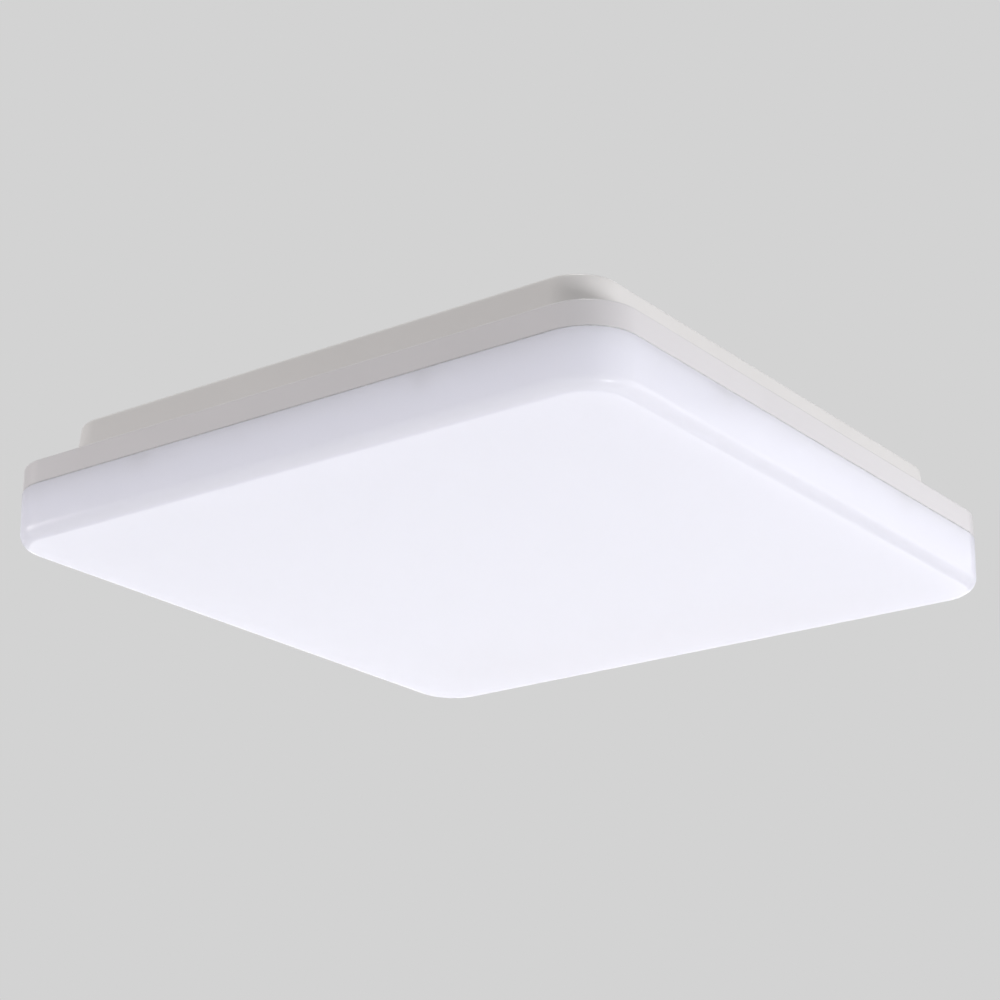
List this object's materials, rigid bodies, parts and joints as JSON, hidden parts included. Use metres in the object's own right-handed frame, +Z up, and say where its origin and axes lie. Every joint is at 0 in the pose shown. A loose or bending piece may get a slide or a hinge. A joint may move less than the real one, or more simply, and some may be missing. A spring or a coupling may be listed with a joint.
{
  "type": "flush mount ceiling light",
  "caption": "Square flush mount ceiling light with an inset mounting base, a slim frame and a click-on opal diffuser over light strips.",
  "frame": {"origin": "centre of the mounting base's face that lies against the ceiling", "axes": "+Z up into the ceiling, the lamp hangs below; X and Y are square to the lamp's sides"},
  "size_m": [0.3, 0.3, 0.0538],
  "materials": {
    "base_plastic": "satin warm white moulding",
    "frame_plastic": "satin cool white moulding",
    "opal": "glossy opal diffusing plastic",
    "tray_steel": "white powder coat on sheet steel",
    "spring_steel": "bright rolled spring steel",
    "screw_zinc": "bright zinc plate",
    "black_rubber": "matt black rubber",
    "grey_foam": "fine-celled grey foam",
    "strip_mask": "white solder mask on aluminium",
    "phosphor": "yellow phosphor in a white package",
    "connector_white": "white nylon",
    "driver_plastic": "fine-textured white plastic",
    "board_laminate": "tan laminate circuit board",
    "ferrite": "dark grey ferrite",
    "capacitor_sleeve": "shrunk dark blue sleeve",
    "film_yellow": "yellow box capacitor",
    "chip_black": "black moulded package",
    "fuse_brown": "brown shrunk sleeve",
    "block_grey": "grey moulding",
    "lever_orange": "orange moulding",
    "copper_alloy": "tinned copper alloy",
    "wire_brown": "brown insulation",
    "wire_blue": "blue insulation",
    "wire_green_yellow": "green and yellow insulation",
    "wire_red": "red insulation",
    "wire_black": "black insulation"
  },
  "bodies": {
    "ceiling_base": {"mounting_base": "base_plastic", "ceiling_seal": "grey_foam", "cable_grommet": "black_rubber", "base_clips": "spring_steel", "base_clip_screws": "screw_zinc"},
    "lamp_unit": {"housing_frame": "frame_plastic", "led_tray": "tray_steel", "tray_screws": "screw_zinc", "strip_screws": "screw_zinc", "strip_plugs": "connector_white", "strip_jumpers": "wire_red", "driver_base": "driver_plastic", "driver_cover": "driver_plastic", "driver_board": "board_laminate", "driver_transformer": "ferrite", "driver_capacitors": "capacitor_sleeve", "driver_film_capacitors": "film_yellow", "driver_choke": "ferrite", "driver_chips": "chip_black", "driver_fuse": "fuse_brown", "driver_screws": "screw_zinc", "terminal_block": "block_grey", "terminal_springs": "copper_alloy", "terminal_screws": "screw_zinc", "cord_clamp": "driver_plastic", "cord_clamp_screws": "screw_zinc", "earth_tab": "copper_alloy", "earth_screw": "screw_zinc", "tray_grommet": "black_rubber", "diffuser_seal": "grey_foam", "diffuser_clips": "spring_steel", "diffuser_clip_rivets": "screw_zinc", "live_lead": "wire_brown", "neutral_lead": "wire_blue", "earth_lead": "wire_green_yellow", "plus_lead": "wire_red", "minus_lead": "wire_black", "led_strip_1": "strip_mask", "led_packages_1": "phosphor", "led_strip_2": "strip_mask", "led_packages_2": "phosphor", "led_strip_3": "strip_mask", "led_packages_3": "phosphor", "led_strip_4": "strip_mask", "led_packages_4": "phosphor", "led_strip_5": "strip_mask", "led_packages_5": "phosphor", "led_strip_6": "strip_mask", "led_packages_6": "phosphor"},
    "diffuser_body": {"diffuser": "opal"},
    "live_lever_body": {"live_lever": "lever_orange"},
    "neutral_lever_body": {"neutral_lever": "lever_orange"},
    "earth_lever_body": {"earth_lever": "lever_orange"}
  },
  "joints": [
    {"name": "lamp_unit_slide", "type": "slide", "parent": "ceiling_base", "child": "lamp_unit", "axis": [0, 0, -1], "range_m": [0, 0.06], "deforming": ["base_clips"]},
    {"name": "diffuser_slide", "type": "slide", "parent": "lamp_unit", "child": "diffuser_body", "axis": [0, 0, -1], "range_m": [0, 0.05], "deforming": ["diffuser_clips"]},
    {"name": "live_lever_hinge", "type": "hinge", "parent": "lamp_unit", "child": "live_lever_body", "pos_m": [-0.0585, -0.0465, -0.015], "axis": [1, 0, 0], "range_deg": [0, 85]},
    {"name": "neutral_lever_hinge", "type": "hinge", "parent": "lamp_unit", "child": "neutral_lever_body", "pos_m": [-0.05, -0.0465, -0.015], "axis": [1, 0, 0], "range_deg": [0, 85]},
    {"name": "earth_lever_hinge", "type": "hinge", "parent": "lamp_unit", "child": "earth_lever_body", "pos_m": [-0.0415, -0.0465, -0.015], "axis": [1, 0, 0], "range_deg": [0, 85]}
  ]
}
